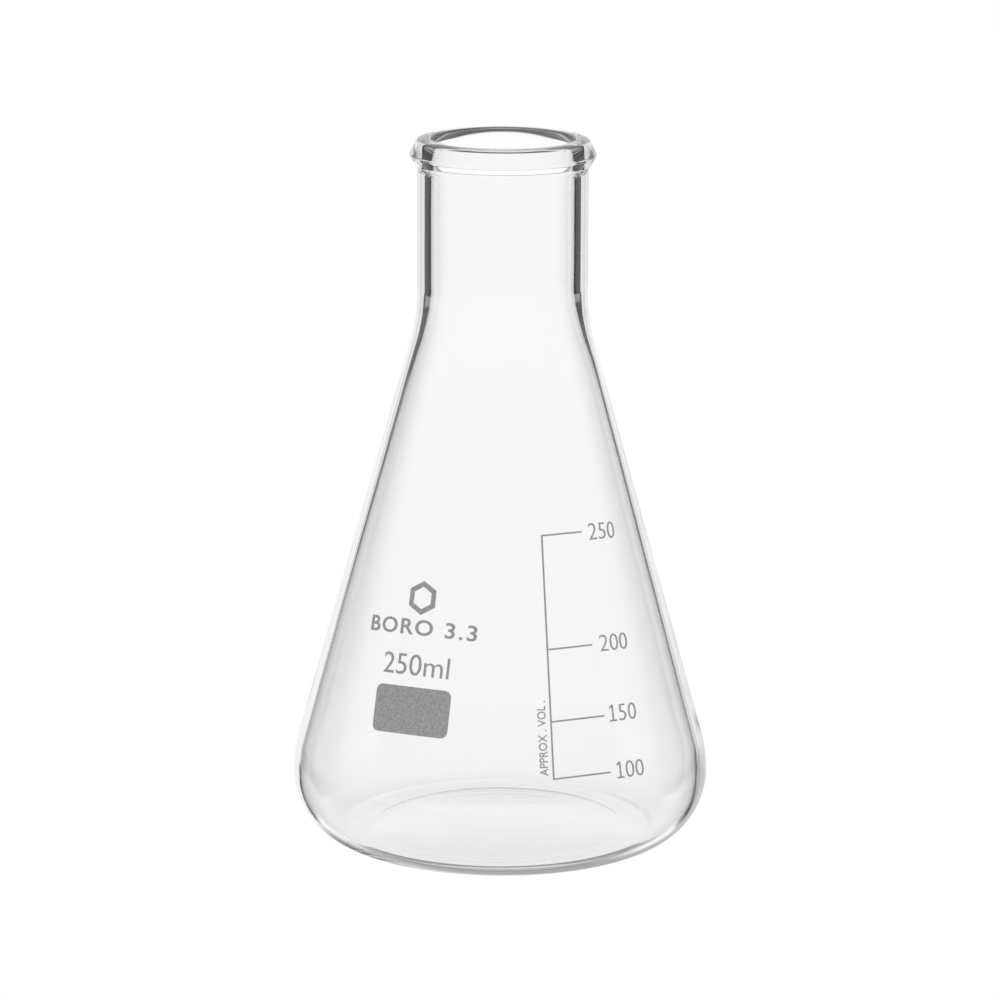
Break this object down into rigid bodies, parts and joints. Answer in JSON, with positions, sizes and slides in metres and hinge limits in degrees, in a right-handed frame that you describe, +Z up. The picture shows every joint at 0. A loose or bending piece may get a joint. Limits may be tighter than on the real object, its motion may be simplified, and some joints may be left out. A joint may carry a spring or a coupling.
{
  "type": "erlenmeyer flask",
  "caption": "Conical glass laboratory flask with a flat foot, straight neck, beaded rim, printed volume scale and a spot to write on.",
  "frame": {"origin": "centre of the foot, on the plane that the flask stands on", "axes": "+Z up along the neck; the printed marks face -Y"},
  "size_m": [0.085, 0.085, 0.1443],
  "materials": {
    "glass": "clear, fire-polished borosilicate glass",
    "enamel": "matt grey fired enamel"
  },
  "bodies": {
    "root": {"capacity_1_2": "enamel", "capacity_2_5": "enamel", "capacity_3_0": "enamel", "capacity_4_m": "enamel", "capacity_5_l": "enamel", "emblem_hexagon": "enamel", "flask_body": "glass", "grade_1_B": "enamel", "grade_2_O": "enamel", "grade_3_R": "enamel", "grade_4_O": "enamel", "grade_5_3": "enamel", "grade_6_point": "enamel", "grade_7_3": "enamel", "graduation_scale": "enamel", "marking_spot": "enamel", "note_10_L": "enamel", "note_11_point": "enamel", "note_1_A": "enamel", "note_2_P": "enamel", "note_3_P": "enamel", "note_4_R": "enamel", "note_5_O": "enamel", "note_6_X": "enamel", "note_7_point": "enamel", "note_8_V": "enamel", "note_9_O": "enamel", "numeral_100_1_1": "enamel", "numeral_100_2_0": "enamel", "numeral_100_3_0": "enamel", "numeral_150_1_1": "enamel", "numeral_150_2_5": "enamel", "numeral_150_3_0": "enamel", "numeral_200_1_2": "enamel", "numeral_200_2_0": "enamel", "numeral_200_3_0": "enamel", "numeral_250_1_2": "enamel", "numeral_250_2_5": "enamel", "numeral_250_3_0": "enamel"}
  },
  "joints": []
}
